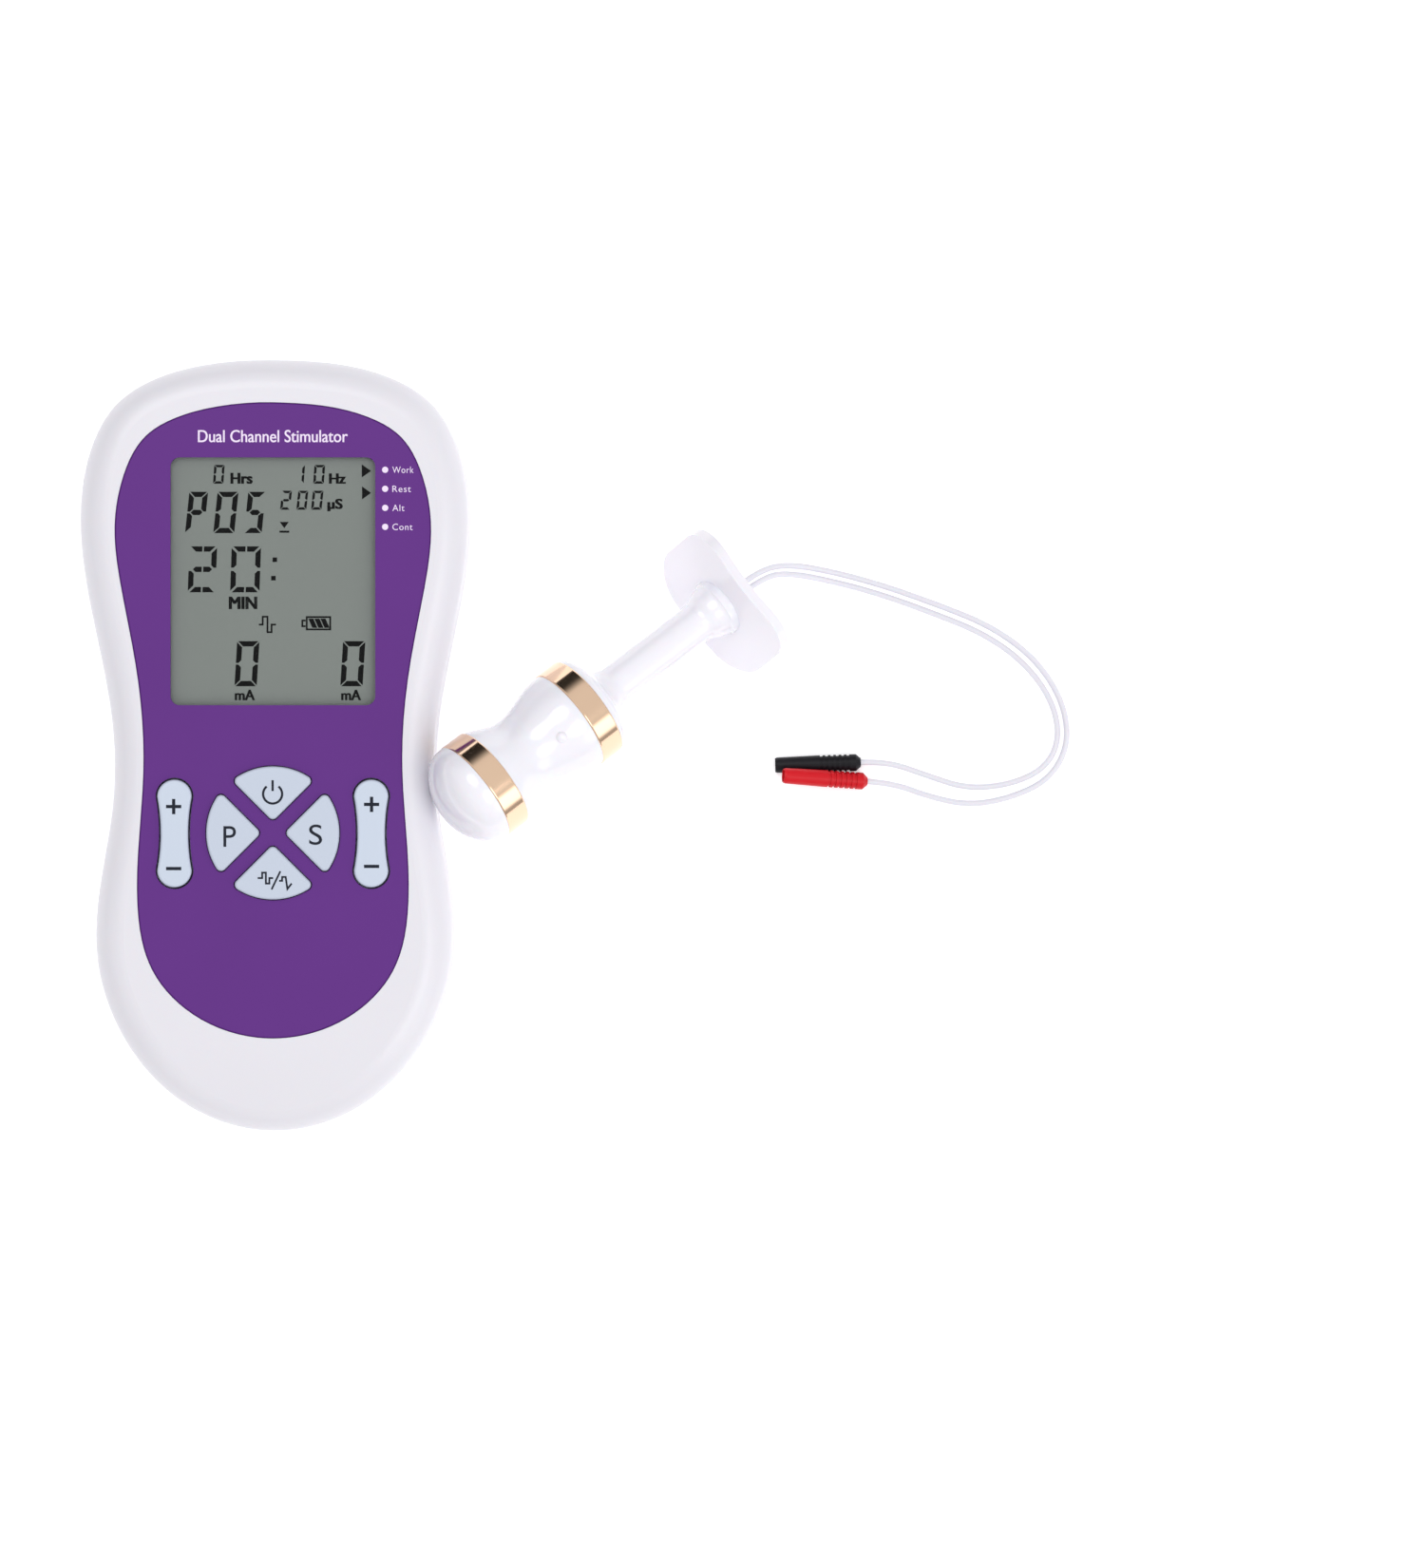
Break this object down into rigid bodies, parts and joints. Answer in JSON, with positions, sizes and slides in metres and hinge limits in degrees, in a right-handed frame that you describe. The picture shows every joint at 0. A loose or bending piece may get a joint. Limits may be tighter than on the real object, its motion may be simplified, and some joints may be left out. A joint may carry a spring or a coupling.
{
  "type": "muscle stimulator with ring-electrode probe",
  "caption": "Handheld electrotherapy controller with a purple face, display, keys and rocker buttons, beside its white ring-electrode probe on leads ending in red and black socket connectors.",
  "frame": {"origin": "centre of the controller's flat rear face, the face it rests on", "axes": "+Z from the rear face to the face panel, +Y towards the display end and output jacks, +X to the right of a user reading the display; the probe lies on the +X side"},
  "size_m": [0.1834, 0.1422, 0.0378],
  "materials": {
    "shell": "satin white moulding",
    "face_panel": "purple, smooth",
    "display_window": "clear, flat",
    "display_glass": "grey-green liquid crystal",
    "backlight": "translucent",
    "frame_black": "moulded",
    "key": "pale blue-grey, soft",
    "rocker": "pale blue-grey, soft",
    "mat": "moulded silicone",
    "pill": "carbon filled",
    "steel": "plated",
    "zebra": "layered",
    "board": "solder mask",
    "chip": "moulded",
    "can": "drawn can",
    "winding": "taped winding",
    "cell": "wrapped can",
    "jack": "moulded",
    "electrode": "polished gold plating",
    "probe_white": "polished white moulding",
    "lead": "white flexible sheath",
    "grommet": "white moulded",
    "wire": "tinned copper",
    "connector_red": "moulded red",
    "connector_black": "moulded black"
  },
  "bodies": {
    "controller": {"battery_cells": "cell", "button_contacts": "steel", "buzzer": "chip", "capacitors": "can", "case_screws": "steel", "control_chip": "chip", "display_backlight": "backlight", "display_cell": "display_glass", "display_frame": "frame_black", "display_window": "display_window", "dome_power": "mat", "dome_program": "mat", "dome_set": "mat", "dome_waveform": "mat", "face_panel": "face_panel", "front_shell": "shell", "keypad_mat": "mat", "main_board": "board", "output_jack_left": "jack", "output_jack_right": "jack", "output_transformers": "winding", "rear_shell": "shell", "rocker_domes_left": "mat", "rocker_domes_right": "mat", "rocker_pin_left": "steel", "rocker_pin_right": "steel", "spring_contacts": "steel", "zebra_strips": "zebra"},
    "battery_door": {"battery_door": "shell"},
    "key_power": {"key_power": "key", "pill_power": "pill"},
    "key_program": {"key_program": "key", "pill_program": "pill"},
    "key_set": {"key_set": "key", "pill_set": "pill"},
    "key_waveform": {"key_waveform": "key", "pill_waveform": "pill"},
    "rocker_left": {"rocker_left": "rocker", "rocker_pills_left": "pill"},
    "rocker_right": {"rocker_right": "rocker", "rocker_pills_right": "pill"},
    "probe": {"probe_tip": "probe_white", "ring_electrode_front": "electrode", "ring_electrode_rear": "electrode", "probe_waist": "probe_white", "probe_stem": "probe_white", "probe_flange": "probe_white", "lead_grommet": "grommet", "ring_wire_front": "wire", "ring_wire_rear": "wire", "lead_red": "lead", "lead_black": "lead", "connector_red": "connector_red", "connector_black": "connector_black", "contact_red": "steel", "contact_black": "steel"}
  },
  "joints": [
    {"name": "battery_door_slide", "type": "slide", "parent": "controller", "child": "battery_door", "axis": [0, -1, 0], "range_m": [0, 0.065]},
    {"name": "power_key_press", "type": "slide", "parent": "controller", "child": "key_power", "axis": [0, 0, -1], "range_m": [0, 0.001], "stiffness_N_per_m": 500, "deforming": ["dome_power"]},
    {"name": "program_key_press", "type": "slide", "parent": "controller", "child": "key_program", "axis": [0, 0, -1], "range_m": [0, 0.001], "stiffness_N_per_m": 500, "deforming": ["dome_program"]},
    {"name": "set_key_press", "type": "slide", "parent": "controller", "child": "key_set", "axis": [0, 0, -1], "range_m": [0, 0.001], "stiffness_N_per_m": 500, "deforming": ["dome_set"]},
    {"name": "waveform_key_press", "type": "slide", "parent": "controller", "child": "key_waveform", "axis": [0, 0, -1], "range_m": [0, 0.001], "stiffness_N_per_m": 500, "deforming": ["dome_waveform"]},
    {"name": "left_rocker_tilt", "type": "hinge", "parent": "controller", "child": "rocker_left", "pos_m": [-0.0181, -0.0162, 0.0213], "axis": [1, 0, 0], "range_deg": [-4, 4], "stiffness_Nm_per_rad": 0.05, "deforming": ["rocker_domes_left"]},
    {"name": "right_rocker_tilt", "type": "hinge", "parent": "controller", "child": "rocker_right", "pos_m": [0.0181, -0.0162, 0.0213], "axis": [1, 0, 0], "range_deg": [-4, 4], "stiffness_Nm_per_rad": 0.05, "deforming": ["rocker_domes_right"]},
    {"name": "probe_lift", "type": "slide", "parent": "controller", "child": "probe", "axis": [0, 0, 1], "range_m": [0, 0.12]}
  ]
}
